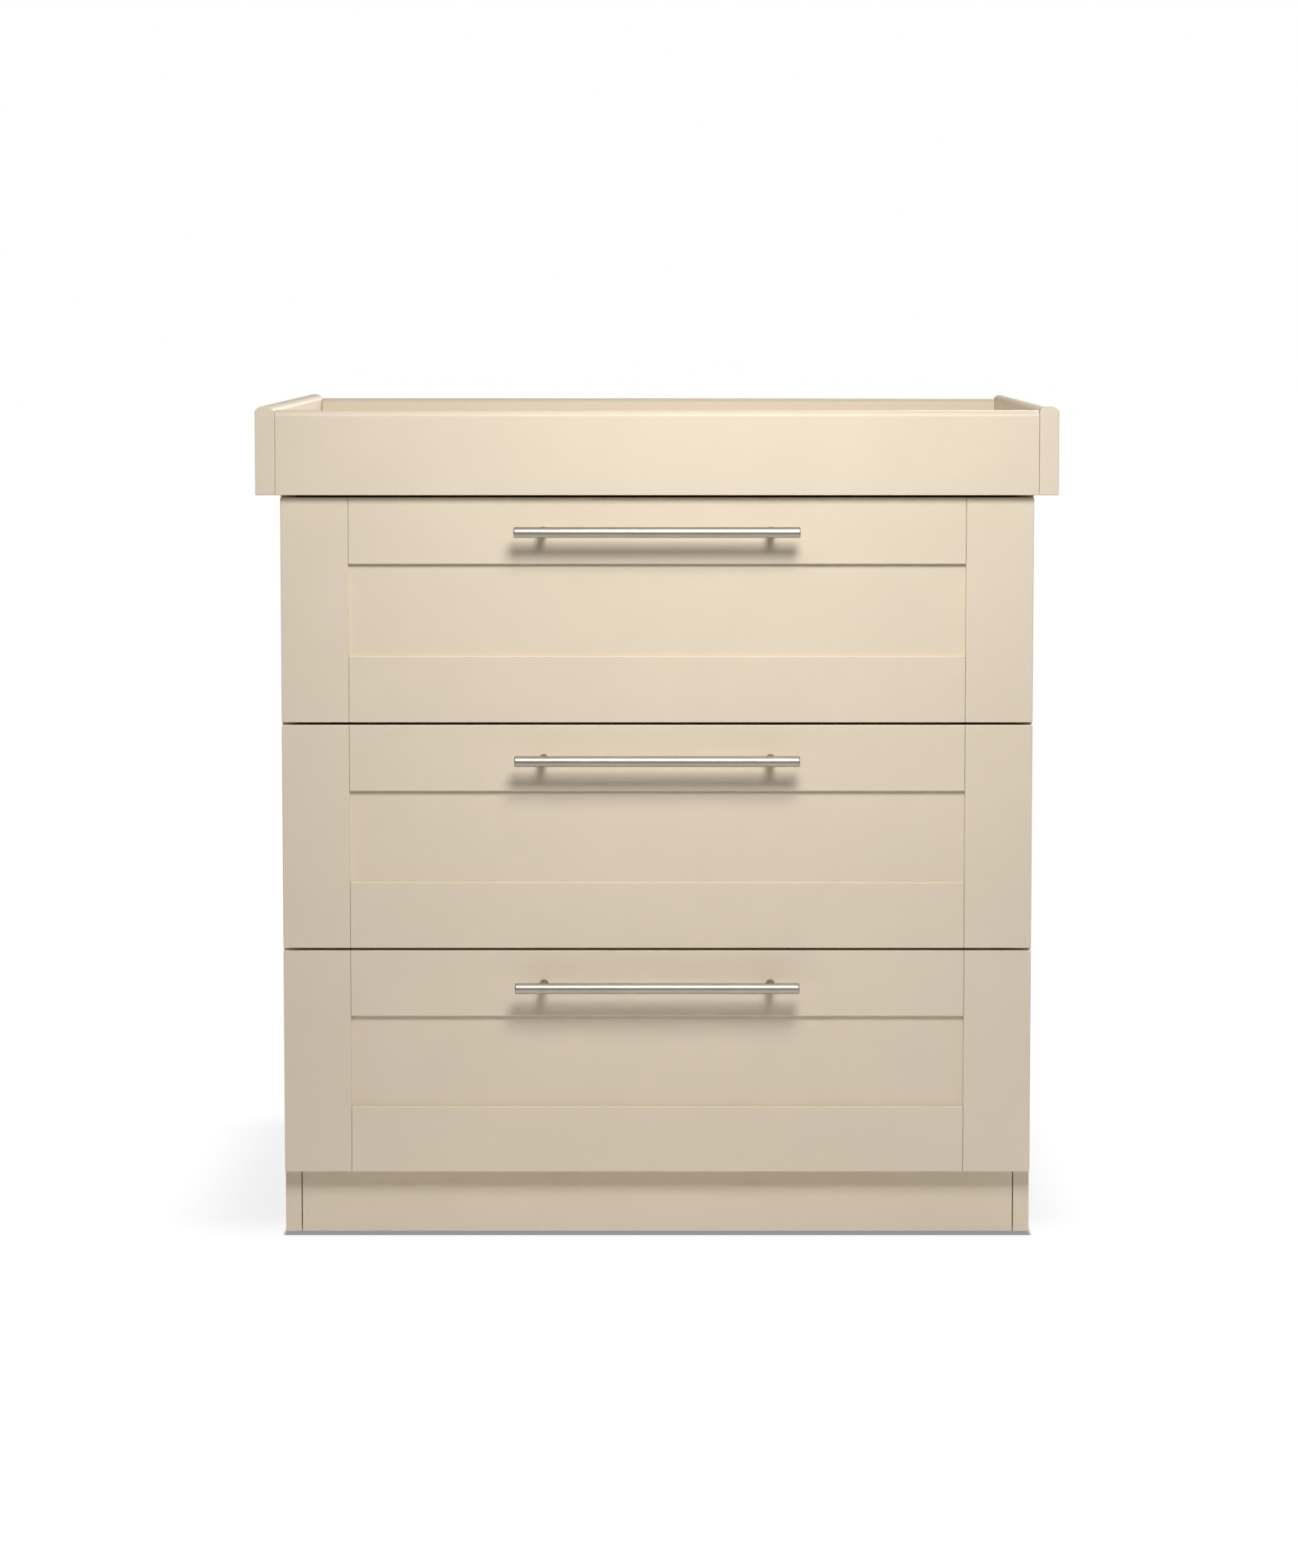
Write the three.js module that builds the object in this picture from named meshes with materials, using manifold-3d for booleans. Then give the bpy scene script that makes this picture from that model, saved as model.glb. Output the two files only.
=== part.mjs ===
// A chest of three drawers that carries a lift-off changing tray.
// Millimetres, +Z up, fronts facing -Y. Inside the model the plane of the drawer faces is y = 0;
// the last lines shift the whole piece so that its origin is the bottom centre of its box.
import * as THREE from "three";
import { mergeVertices } from "three/addons/utils/BufferGeometryUtils.js";
import Module from "manifold-3d";

const wasm = await Module();
wasm.setup();

// ---- driving dimensions ----
const touchGap = 0.3; // left between pieces that rest on or butt against each other

const caseWidth = 850; // over the side panels
const topDepth = 500; // front to back of the top panel
const board = 18; // side, top and bottom panels, plinths, rear rail, drawer front frames
const topLip = 5; // top panel ahead of the side panels
const backThickness = 3;
const plinthHeight = 70;
const plinthRecess = 0.5;
const plinthSeam = 1; // open seam at each end of the front plinth
const rearPlinthInset = 40;
const rearRailHeight = 80;

const glideHeight = 4;
const glideRadius = 8;
const glidePinRadius = 2.2;
const glidePinLength = 14;
const glideInset = 45; // from a side panel's front or rear edge

const drawerCount = 3;
const frontHeight = 254;
const frontGap = 3; // between fronts, and between the top front and the tray
const frontReveal = 1.5; // side panel showing past each end of a front
const frontStandoff = 2; // buffer gap between a front and the side panels
const plinthReveal = 4; // from the plinth's top to the lowest front
const stileWidth = 76;
const railHeight = 75;
const panelThickness = 6;
const panelRecess = 5;
const frameGroove = 8; // depth of the groove that holds the centre panel and the rails' stub tenons

const runnerSpace = 12.7; // between a side panel and a drawer side
const runnerWall = 1.2;
const runnerBend = 2.6;
const cabinetRunnerHeight = 45;
const cabinetRunnerReach = 10;
const drawerRunnerHeight = 36.6;
const drawerRunnerReach = 9.4;
const runnerSetback = 2; // cabinet runner behind the side panel's front edge

const drawerSideThickness = 15;
const boxBottomInset = 20; // drawer box above its front's lower edge
const boxTopInset = 56; // drawer box below its front's upper edge
const boxRearGap = 25.4; // drawer box to the rear rail
const backDrop = 6; // drawer back below the sides' upper edges
const baseThickness = 4;
const baseRise = 10; // groove above the drawer sides' lower edges
const baseGroove = 6; // depth of the groove in a drawer side
const frontBaseGroove = 5; // depth of the groove in the back of a front

const handleLength = 320;
const handleRadius = 6;
const handleChamfer = 1.2;
const postSpacing = 256;
const postRadius = 5;
const handleProjection = 35; // front of the bar ahead of the drawer face

const trayBoard = 22;
const traySideHeight = 100;
const trayEndHeight = 95;
const trayCrownRise = 5.7; // height of the arched upper edge
const trayClearance = 3; // between the tray and the top panel's edges
const trayBaseThickness = 9;
const trayTongue = 5; // thickness of the base's rebated edge, which sits in the boards' grooves
const trayBaseGroove = 6;

const bracketWidth = 44;
const bracketWall = 2;
const bracketFoot = 34; // flange screwed to the back
const bracketRise = 30; // flange against the wall
const bracketDrop = 4; // top of the bracket below the tray
const bracketHoleRadius = 2.6;
const bracketHoleSpacing = 24;

// ---- worked out from them ----
const halfCase = caseWidth / 2;
const innerHalf = halfCase - board;
const sideFront = board + frontStandoff;
const topFront = sideFront - topLip;
const topRear = topFront + topDepth;
const sideRear = topRear - backThickness - touchGap;
const bottomPanelZ = glideHeight + plinthHeight;
const lowestFrontZ = bottomPanelZ + plinthReveal;
const frontPitch = frontHeight + frontGap;
const caseTop = lowestFrontZ + drawerCount * frontPitch;
const frontHalf = halfCase - frontReveal;
const rearRailFront = sideRear - board;
const boxHalf = innerHalf - runnerSpace;
const boxInnerHalf = boxHalf - drawerSideThickness;
const boxFront = board + touchGap;
const boxRear = rearRailFront - boxRearGap;
const boxBottom = boxBottomInset;
const boxTop = frontHeight - boxTopInset;
const baseZ = boxBottom + baseRise;
const runnerZ = (boxBottom + boxTop) / 2;
const windowHalf = frontHalf - stileWidth;
const handleZ = frontHeight - railHeight / 2;
const barAxisY = handleRadius - handleProjection;
const trayFront = topFront - trayClearance - trayBoard;
const trayRear = topRear + trayClearance + trayBoard;
const trayInnerHalf = halfCase + trayClearance;
const trayHalf = trayInnerHalf + trayBoard;
const trayBaseZ = board + touchGap; // above the tray's lower edge
const bracketTop = caseTop - bracketDrop;
const overallFront = Math.min(trayFront, -handleProjection);

// ---- materials ----
function finish(color, roughness, metalness = 0) {
  return () => new THREE.MeshStandardMaterial({ color, roughness, metalness });
}
const creamPaint = finish(0xe6d7bf, 0.42);
const whiteFoil = finish(0xece9e2, 0.5);
const hardboard = finish(0xd9d4c8, 0.7);
const zincSteel = finish(0xb9bcbd, 0.38, 1);
const satinNickel = finish(0xa9a39a, 0.33, 1);
const nylon = finish(0x3a3835, 0.6);

// ---- solids ----
function solidOf(geometry) {
  const bare = geometry.clone();
  bare.deleteAttribute("normal");
  bare.deleteAttribute("uv");
  const merged = mergeVertices(bare, 1e-4);
  return new wasm.Manifold(new wasm.Mesh({
    numProp: 3,
    vertProperties: new Float32Array(merged.attributes.position.array),
    triVerts: new Uint32Array(merged.index.array),
  }));
}

function geometryOf(solid) {
  const mesh = solid.getMesh();
  const geometry = new THREE.BufferGeometry();
  geometry.setAttribute("position", new THREE.BufferAttribute(new Float32Array(mesh.vertProperties), 3));
  geometry.setIndex(new THREE.BufferAttribute(new Uint32Array(mesh.triVerts), 1));
  const flat = geometry.toNonIndexed();
  flat.computeVertexNormals();
  return flat;
}

function joined(...geometries) {
  return geometryOf(geometries.map(solidOf).reduce((all, next) => all.add(next)));
}

function cut(geometry, ...tools) {
  return geometryOf(tools.map(solidOf).reduce((rest, tool) => rest.subtract(tool), solidOf(geometry)));
}

// A box from its lowest to its highest corner, each given as [x, y, z].
function block(low, high) {
  const size = high.map((value, i) => value - low[i]);
  const middle = high.map((value, i) => (value + low[i]) / 2);
  return new THREE.BoxGeometry(...size).translate(...middle);
}

// The same box, grown by a margin on every side: the pocket for a piece that fits into another.
function pocket(low, high, margin) {
  return block(low.map((value) => value - margin), high.map((value) => value + margin));
}

// A round bar along X, Y or Z, with both ends centred on the axis.
function roundBar(radius, length, axis, segments = 32) {
  const bar = new THREE.CylinderGeometry(radius, radius, length, segments);
  if (axis === "x") bar.rotateZ(Math.PI / 2);
  if (axis === "z") bar.rotateX(Math.PI / 2);
  return bar;
}

// A shape drawn in X and Z, carried from one Y to another.
function carriedAlongY(shape, fromY, toY, curveSegments = 6) {
  const geometry = new THREE.ExtrudeGeometry(shape, { depth: toY - fromY, bevelEnabled: false, curveSegments });
  return geometry.rotateX(Math.PI / 2).translate(0, toY, 0);
}

// Each piece is shaped where it belongs in its group, then given its own centre as its origin.
function place(group, name, material, geometry) {
  geometry.computeBoundingBox();
  const centre = geometry.boundingBox.getCenter(new THREE.Vector3());
  geometry.translate(-centre.x, -centre.y, -centre.z);
  const mesh = new THREE.Mesh(geometry, material());
  mesh.name = name;
  mesh.position.copy(centre);
  group.add(mesh);
}

const sides = [{ side: "left", sign: -1 }, { side: "right", sign: 1 }];

// A box on one hand: x runs outwards from the middle, and sign puts it left or right.
function handed(sign, low, high) {
  const [near, far] = [sign * low[0], sign * high[0]];
  return [
    [Math.min(near, far), low[1], low[2]],
    [Math.max(near, far), high[1], high[2]],
  ];
}

// ---- drawer runners: two steel channels that face each other, one inside the other ----
function channel(sign, webX, towards, reach, height, centreZ, fromY, toY) {
  const half = height / 2;
  const inner = runnerBend - runnerWall;
  const outline = new THREE.Shape();
  outline.moveTo(reach, -half);
  outline.lineTo(runnerBend, -half);
  outline.absarc(runnerBend, runnerBend - half, runnerBend, -Math.PI / 2, -Math.PI, true);
  outline.lineTo(0, half - runnerBend);
  outline.absarc(runnerBend, half - runnerBend, runnerBend, Math.PI, Math.PI / 2, true);
  outline.lineTo(reach, half);
  outline.lineTo(reach, half - runnerWall);
  outline.lineTo(runnerBend, half - runnerWall);
  outline.absarc(runnerBend, half - runnerBend, inner, Math.PI / 2, Math.PI, false);
  outline.lineTo(runnerWall, runnerBend - half);
  outline.absarc(runnerBend, runnerBend - half, inner, Math.PI, Math.PI * 1.5, false);
  outline.lineTo(reach, runnerWall - half);
  outline.closePath();
  const geometry = carriedAlongY(outline, fromY, toY);
  if (sign * towards < 0) geometry.rotateZ(Math.PI).translate(0, fromY + toY, 0);
  return geometry.translate(sign * webX, 0, centreZ);
}

// ---- the case ----
function glide(x, y) {
  const top = glideHeight - touchGap;
  const profile = [
    [0, 0], [glideRadius - 1, 0], [glideRadius, 1], [glideRadius, top],
    [glidePinRadius, top], [glidePinRadius, top + glidePinLength], [0, top + glidePinLength],
  ].map(([radius, height]) => new THREE.Vector2(radius, height));
  return new THREE.LatheGeometry(profile, 28).rotateX(Math.PI / 2).translate(x, y, 0);
}

function glideHole(x, y) {
  const depth = glidePinLength + 2 * touchGap;
  return roundBar(glidePinRadius + touchGap, depth, "z", 16).translate(x, y, glideHeight + depth / 2 - touchGap);
}

function wallBracket() {
  const rearFace = topRear + touchGap;
  const ledge = bracketTop - bracketRise;
  const half = bracketWidth / 2;
  const foot = block([-half, rearFace, ledge - bracketFoot], [half, rearFace + bracketWall, ledge + bracketWall]);
  const arm = block([-half, rearFace, ledge], [half, trayRear, ledge + bracketWall]);
  const wallPlate = block([-half, trayRear - bracketWall, ledge], [half, trayRear, bracketTop]);
  const footHoles = [-1, 1].map((sign) =>
    roundBar(bracketHoleRadius, 4 * bracketWall, "y", 16)
      .translate(sign * bracketHoleSpacing / 2, rearFace + bracketWall / 2, ledge - bracketFoot / 2));
  const wallHole = roundBar(bracketHoleRadius, 4 * bracketWall, "y", 16)
    .translate(0, trayRear - bracketWall / 2, bracketTop - bracketRise / 2);
  return cut(joined(foot, arm, wallPlate), ...footHoles, wallHole);
}

function buildCase() {
  const group = new THREE.Group();
  const glideSpots = [["front", sideFront + glideInset], ["rear", sideRear - glideInset]];
  for (const { side, sign } of sides) {
    const glideX = sign * (halfCase - board / 2);
    const [low, high] = handed(sign, [innerHalf, sideFront, glideHeight], [halfCase, sideRear, caseTop - touchGap]);
    const holes = glideSpots.map(([, y]) => glideHole(glideX, y));
    place(group, `${side}_side_panel`, creamPaint, cut(block(low, high), ...holes));
    for (const [end, y] of glideSpots) place(group, `${end}_${side}_glide`, nylon, glide(glideX, y));
    for (let i = 0; i < drawerCount; i++) {
      const centreZ = lowestFrontZ + i * frontPitch + runnerZ;
      const fromY = sideFront + runnerSetback;
      const runner = channel(sign, innerHalf - touchGap, -1, cabinetRunnerReach, cabinetRunnerHeight,
        centreZ, fromY, fromY + boxRear - boxFront);
      place(group, `${levels[i]}_${side}_cabinet_runner`, zincSteel, runner);
    }
  }
  const span = innerHalf - touchGap;
  place(group, "top_panel", creamPaint, block([-halfCase, topFront, caseTop], [halfCase, topRear, caseTop + board]));
  place(group, "bottom_panel", creamPaint,
    block([-span, sideFront, bottomPanelZ], [span, sideRear, bottomPanelZ + board]));
  place(group, "front_plinth", creamPaint,
    block([plinthSeam - innerHalf, sideFront + plinthRecess, glideHeight],
      [innerHalf - plinthSeam, sideFront + plinthRecess + board, bottomPanelZ - touchGap]));
  place(group, "rear_plinth", creamPaint,
    block([-span, sideRear - rearPlinthInset - board, glideHeight],
      [span, sideRear - rearPlinthInset, bottomPanelZ - touchGap]));
  place(group, "rear_top_rail", creamPaint,
    block([-span, rearRailFront, caseTop - touchGap - rearRailHeight], [span, sideRear, caseTop - touchGap]));
  place(group, "back_panel", hardboard,
    block([frontReveal - halfCase, sideRear + touchGap, bottomPanelZ],
      [halfCase - frontReveal, topRear, caseTop - touchGap]));
  place(group, "wall_bracket", zincSteel, wallBracket());
  return group;
}

// ---- a drawer, with its front's lower edge at z = 0 ----
function handle() {
  const half = handleLength / 2;
  const barProfile = [
    [0, -half], [handleRadius - handleChamfer, -half], [handleRadius, handleChamfer - half],
    [handleRadius, half - handleChamfer], [handleRadius - handleChamfer, half], [0, half],
  ].map(([radius, along]) => new THREE.Vector2(radius, along));
  const bar = new THREE.LatheGeometry(barProfile, 32).rotateZ(Math.PI / 2).translate(0, barAxisY, handleZ);
  const postLength = -barAxisY - touchGap;
  const posts = [-1, 1].map((sign) =>
    roundBar(postRadius, postLength, "y", 24)
      .translate(sign * postSpacing / 2, barAxisY + postLength / 2, handleZ));
  return joined(bar, ...posts);
}

function buildDrawer(level) {
  const group = new THREE.Group();
  const add = (name, material, geometry) => place(group, `${level}_drawer_${name}`, material, geometry);

  const tongue = frameGroove - touchGap;
  const panelFront = panelRecess;
  const panelBack = panelRecess + panelThickness;
  const lowRail = railHeight;
  const highRail = frontHeight - railHeight;
  const panelLow = [-windowHalf - tongue, panelFront, lowRail - tongue];
  const panelHigh = [windowHalf + tongue, panelBack, highRail + tongue];
  add("centre_panel", creamPaint, block(panelLow, panelHigh));

  const baseReach = boxInnerHalf + baseGroove - touchGap;
  const baseLow = [-baseReach, board - frontBaseGroove + touchGap, baseZ];
  const baseHigh = [baseReach, boxRear, baseZ + baseThickness];
  const basePocket = pocket(baseLow, baseHigh, touchGap);
  add("base", hardboard, block(baseLow, baseHigh));

  const panelPocket = pocket(panelLow, panelHigh, touchGap);
  for (const [name, low, high] of [["lower_rail", 0, lowRail], ["upper_rail", highRail, frontHeight]]) {
    const span = windowHalf - touchGap;
    const rail = block([-span, 0, low], [span, board, high]);
    const tenons = block([-windowHalf - tongue, panelFront, low], [windowHalf + tongue, panelBack, high]);
    add(name, creamPaint, cut(joined(rail, tenons), panelPocket, basePocket));
  }
  const fullGroove = pocket([-windowHalf - tongue, panelFront, -board],
    [windowHalf + tongue, panelBack, frontHeight + board], touchGap);
  for (const { side, sign } of sides) {
    const stile = block(...handed(sign, [windowHalf, 0, 0], [frontHalf, board, frontHeight]));
    add(`${side}_stile`, creamPaint, cut(stile, fullGroove, basePocket));
    const sideBoard = block(...handed(sign, [boxInnerHalf, boxFront, boxBottom], [boxHalf, boxRear, boxTop]));
    add(`${side}_side`, whiteFoil, cut(sideBoard, basePocket));
    const runner = channel(sign, boxHalf + touchGap, 1, drawerRunnerReach, drawerRunnerHeight,
      runnerZ, boxFront + touchGap, boxRear);
    add(`${side}_runner`, zincSteel, runner);
  }
  const backHalf = boxInnerHalf - touchGap;
  add("back", whiteFoil, block([-backHalf, boxRear - drawerSideThickness, baseZ + baseThickness + touchGap],
    [backHalf, boxRear, boxTop - backDrop]));
  add("handle", satinNickel, handle());
  return group;
}

// ---- the tray, with its lower edge at z = 0 ----
function crownedOutline(height) {
  const half = trayBoard / 2;
  const radius = (half * half + trayCrownRise * trayCrownRise) / (2 * trayCrownRise);
  const start = Math.acos(half / radius);
  const outline = new THREE.Shape();
  outline.moveTo(-half, 0);
  outline.lineTo(half, 0);
  outline.lineTo(half, height - trayCrownRise);
  outline.absarc(0, height - radius, radius, start, Math.PI - start, false);
  outline.closePath();
  return outline;
}

function buildTray() {
  const group = new THREE.Group();
  const baseReach = trayInnerHalf + trayBaseGroove - touchGap;
  const innerFront = trayFront + trayBoard;
  const innerRear = trayRear - trayBoard;
  const tongueLow = [-baseReach, innerFront - trayBaseGroove + touchGap, trayBaseZ];
  const tongueHigh = [baseReach, innerRear + trayBaseGroove - touchGap, trayBaseZ + trayTongue];
  const floor = block([touchGap - trayInnerHalf, innerFront + touchGap, trayBaseZ],
    [trayInnerHalf - touchGap, innerRear - touchGap, trayBaseZ + trayBaseThickness]);
  const basePocket = pocket(tongueLow, tongueHigh, touchGap);
  place(group, "tray_base", creamPaint, joined(floor, block(tongueLow, tongueHigh)));
  const crownSteps = 12;
  for (const { side, sign } of sides) {
    const length = carriedAlongY(crownedOutline(traySideHeight), trayFront, trayRear, crownSteps)
      .translate(sign * (trayHalf - trayBoard / 2), 0, 0);
    place(group, `tray_${side}_board`, creamPaint, cut(length, basePocket));
  }
  const span = trayInnerHalf - touchGap;
  for (const [end, middle] of [["front", trayFront + trayBoard / 2], ["rear", trayRear - trayBoard / 2]]) {
    const across = carriedAlongY(crownedOutline(trayEndHeight), -span, span, crownSteps)
      .rotateZ(Math.PI / 2).translate(0, middle, 0);
    place(group, `tray_${end}_board`, creamPaint, cut(across, basePocket));
  }
  return group;
}

// ---- the whole piece ----
const levels = ["bottom", "middle", "top"];
const changingTable = new THREE.Group();
changingTable.add(buildCase());
levels.forEach((level, i) => {
  const drawer = buildDrawer(level);
  drawer.position.z = lowestFrontZ + i * frontPitch;
  changingTable.add(drawer);
});
const tray = buildTray();
tray.position.z = caseTop;
changingTable.add(tray);
changingTable.position.y = -(overallFront + trayRear) / 2;

export default changingTable;
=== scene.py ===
import math
import bpy
import numpy as np
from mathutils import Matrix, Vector


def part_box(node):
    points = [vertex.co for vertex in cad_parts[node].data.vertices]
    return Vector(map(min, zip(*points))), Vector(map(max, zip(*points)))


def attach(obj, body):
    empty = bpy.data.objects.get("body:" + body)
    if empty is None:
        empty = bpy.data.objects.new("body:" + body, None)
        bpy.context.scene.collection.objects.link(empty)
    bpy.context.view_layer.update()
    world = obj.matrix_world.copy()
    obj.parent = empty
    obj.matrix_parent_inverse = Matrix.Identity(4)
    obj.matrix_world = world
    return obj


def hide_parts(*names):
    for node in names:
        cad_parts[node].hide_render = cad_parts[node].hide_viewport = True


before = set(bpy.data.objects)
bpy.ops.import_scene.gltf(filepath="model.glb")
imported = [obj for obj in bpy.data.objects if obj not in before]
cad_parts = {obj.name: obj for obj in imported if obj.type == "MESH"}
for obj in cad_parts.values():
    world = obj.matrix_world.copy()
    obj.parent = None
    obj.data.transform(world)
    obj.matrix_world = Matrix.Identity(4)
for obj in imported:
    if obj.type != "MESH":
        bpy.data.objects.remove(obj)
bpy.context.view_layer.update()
mm = 0.001
levels = ("bottom", "middle", "top")
sides = {"left": -1.0, "right": 1.0}    # and the sign of x on each


# The camera comes first, because everything else is judged through it.
view = {
    "place": (0.0126, -4.0875, 1.0543),
    "pitchDown": 3.8357,        # degrees
    "lens": 78.556,             # focal length in millimetres, for the sensor width below
    "sensorWidth": 36,
    "shift": (-0.01233, -0.155),
}


def makeCamera(settings):
    data = bpy.data.cameras.new("studioCamera")
    data.lens = settings["lens"]
    data.sensor_width = settings["sensorWidth"]
    data.shift_x, data.shift_y = settings["shift"]
    camera = bpy.data.objects.new("studioCamera", data)
    camera.location = settings["place"]
    camera.rotation_euler = (math.radians(90 - settings["pitchDown"]), 0, 0)
    bpy.context.scene.collection.objects.link(camera)
    bpy.context.scene.camera = camera


makeCamera(view)
bpy.context.scene.view_settings.view_transform = "Standard"


cornerSteps = 3         # steps in a rounded corner or an eased end, unless a piece asks for more
closeShare = 0.98       # an easing takes up no more than this share of the arc that it starts on


# A closed polygon whose corners become arcs. Each arc touches both sides of its corner, so its centre lies
# one radius off the incoming side, and the outward normal swings evenly through the corner's turn. An outline
# is three arrays: the points, their outward normals and the radius of the arc that each point lies on.
def roundedOutline(points, radii, steps=cornerSteps):
    points = np.array(points, float)
    radii = np.broadcast_to(np.array(radii, float), len(points))
    following = np.roll(points, -1, axis=0)
    if (points[:, 0] * following[:, 1] - points[:, 1] * following[:, 0]).sum() < 0:
        points, radii = points[::-1], radii[::-1]
    incoming = points - np.roll(points, 1, axis=0)
    incoming /= np.linalg.norm(incoming, axis=1, keepdims=True)
    outgoing = np.roll(incoming, -1, axis=0)
    cross = incoming[:, 0] * outgoing[:, 1] - incoming[:, 1] * outgoing[:, 0]
    turn = np.arctan2(cross, (incoming * outgoing).sum(1))
    outward = np.stack([incoming[:, 1], -incoming[:, 0]], 1)
    reach = np.sign(turn) * radii
    start = points - incoming * (radii * np.tan(np.abs(turn) / 2))[:, None]
    centre = start - outward * reach[:, None]
    swing = turn[:, None] * np.linspace(0, 1, steps + 1)
    angle = np.arctan2(outward[:, 1], outward[:, 0])[:, None] + swing
    normals = np.stack([np.cos(angle), np.sin(angle)], 2)
    ring = centre[:, None] + normals * reach[:, None, None]
    return ring.reshape(-1, 2), normals.reshape(-1, 2), np.repeat(radii, steps + 1)


# A rectangle with a groove cut into one of its four sides, as corner points and a radius for each. The side
# is named by its direction, -p, +p, -q or +q.
def groovedRectangle(low, high, side, groove, depth, edge, grooveEdge):
    (p0, q0), (p1, q1) = low, high
    swapped = side in ("-q", "+q")
    if swapped:
        p0, q0, p1, q1 = q0, p0, q1, p1
    face, inner = (p1, p1 - depth) if side[0] == "+" else (p0, p0 + depth)
    other = p0 if side[0] == "+" else p1
    points = [(other, q0), (face, q0), (face, groove[0]), (inner, groove[0]),
              (inner, groove[1]), (face, groove[1]), (face, q1), (other, q1)]
    radii = [edge[0], edge[1], grooveEdge, grooveEdge, grooveEdge, grooveEdge, edge[2], edge[3]]
    if swapped:
        points = [(q, p) for p, q in points]
    return points, radii


# The crowned outline: the point at normal angle t is centre(t) + radius(t) * (cos t, sin t). A small shoulder
# circle serves the two ends of the swing and the broad crown circle the middle, and they touch where one
# takes over from the other.
def crownedOutline(middle, low, high, bottom, top, crown):
    half = (high - low) / 2
    broad = (half ** 2 + crown["rise"] ** 2) / (2 * crown["rise"])
    shoulder = crown["shoulder"]
    lift = math.sqrt((broad - shoulder) ** 2 - (half - shoulder) ** 2)
    change = math.atan2(lift, half - shoulder)
    quarter = crown["archSteps"] // 4
    t = np.concatenate([np.linspace(0, change, quarter, endpoint=False),
                        np.linspace(change, math.pi - change, 2 * quarter),
                        np.linspace(math.pi, math.pi - change, quarter, endpoint=False)[::-1]])
    onBroad = (t > change) & (t < math.pi - change)
    radius = np.where(onBroad, broad, shoulder)
    centreAcross = np.where(onBroad, 0, np.sign(math.pi / 2 - t) * (half - shoulder))
    centreUp = top - broad + np.where(onBroad, 0, lift)
    normals = np.stack([np.cos(t), np.sin(t)], 1)
    arch = normals * radius[:, None] + np.stack([middle + centreAcross, centreUp], 1)
    rectangle = roundedOutline([(low, bottom), (high, bottom), (high, top), (low, top)], crown["foot"])
    lowerCorners = slice(0, 2 * (cornerSteps + 1))
    upperPart = (arch, normals, radius)
    return tuple(np.concatenate([lower[lowerCorners], upper]) for lower, upper in zip(rectangle, upperPart))


# An outline carried along one axis, both ends eased by a quarter round: at swing a the outline has moved in
# by ease * (1 - sin a) and stands ease * (1 - cos a) from the end, and its normal leans from the axis to the
# side. No point moves in farther than the arc that it lies on allows, so tight corners don't turn inside out.
def easedPrism(outline, axis, low, high, ease, steps=cornerSteps):
    ring, normals, radius = outline
    share = np.minimum(1, closeShare * radius / ease)
    swing = np.linspace(0, np.pi / 2, steps + 1)
    inset, stand = ease * (1 - np.sin(swing)), ease * (1 - np.cos(swing))
    both = np.concatenate([swing, swing[::-1]])
    station = np.concatenate([low + stand, (high - stand)[::-1]])
    endSign = np.repeat([-1.0, 1.0], steps + 1)
    across = [i for i in range(3) if i != axis]
    rings = np.empty((len(both), len(ring), 3))
    rings[..., across] = ring - normals * (np.concatenate([inset, inset[::-1]])[:, None] * share)[..., None]
    rings[..., axis] = station[:, None]
    leaning = np.empty_like(rings)
    leaning[..., across] = normals * np.sin(both)[:, None, None]
    leaning[..., axis] = (endSign * np.cos(both))[:, None]
    return rings, leaning


# Three axes for a piece that stands along one of the model's axes: two across it, and the one it stands on.
def axesFor(axis, sign):
    along = np.zeros(3)
    along[axis] = sign
    first = np.zeros(3)
    first[(axis + 1) % 3] = 1.0
    return first, np.cross(along, first), along


# A profile of (along, radius) pairs turned about an axis: the point at angle t is centre + along * axis
# + radius * (cos t * first + sin t * second). The profile starts and ends a hair off the axis, and the flat
# caps of the skin close it there.
def turned(profile, radii, centre, axis, count, sign=1.0, steps=cornerSteps):
    ring, normals, _ = roundedOutline(profile, radii, steps)
    used = slice(steps, (len(profile) - 1) * (steps + 1) + 1)
    ring, normals = ring[used], normals[used]
    first, second, along = axesFor(axis, sign)
    t = np.linspace(0, 2 * np.pi, count, endpoint=False)
    spoke = np.cos(t)[:, None] * first + np.sin(t)[:, None] * second
    rings = np.array(centre) + ring[:, None, :1] * along + ring[:, None, 1:] * spoke
    leaning = normals[:, None, :1] * along + normals[:, None, 1:] * spoke
    return rings, leaning


# Rings of points joined by quads into a closed skin, with a flat cap on the first and the last ring. The
# signed volume, summed over the whole skin, says whether the faces have to be turned round.
def closedSkin(name, rings, normals=None):
    count, around = rings.shape[:2]
    points = rings.reshape(-1, 3)
    row = np.arange(count - 1)[:, None] * around
    here = np.arange(around)[None]
    nextOne = (here + 1) % around
    quads = np.stack([row + here, row + nextOne, row + around + nextOne, row + around + here], -1)
    quads = quads.reshape(-1, 4)
    startCap, endCap = np.arange(around)[::-1], (count - 1) * around + np.arange(around)
    fromMiddle = points - points.mean(0)
    a, b, c, d = (fromMiddle[quads[:, k]] for k in range(4))
    volume = (np.cross(a, b) * c).sum() + (np.cross(a, c) * d).sum()
    for cap in (startCap, endCap):
        fan = fromMiddle[cap]
        volume += (np.cross(fan[0], fan[1:-1]) * fan[2:]).sum()
    if volume < 0:
        quads, startCap, endCap = quads[:, ::-1], startCap[::-1], endCap[::-1]
    mesh = bpy.data.meshes.new(name)
    mesh.from_pydata(points.tolist(), [], quads.tolist() + [startCap.tolist(), endCap.tolist()])
    mesh.polygons.foreach_set("use_smooth", np.ones(len(mesh.polygons), bool))
    if normals is not None:
        mesh.normals_split_custom_set_from_vertices(normals.reshape(-1, 3).tolist())
    mesh.update()
    return mesh


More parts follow.
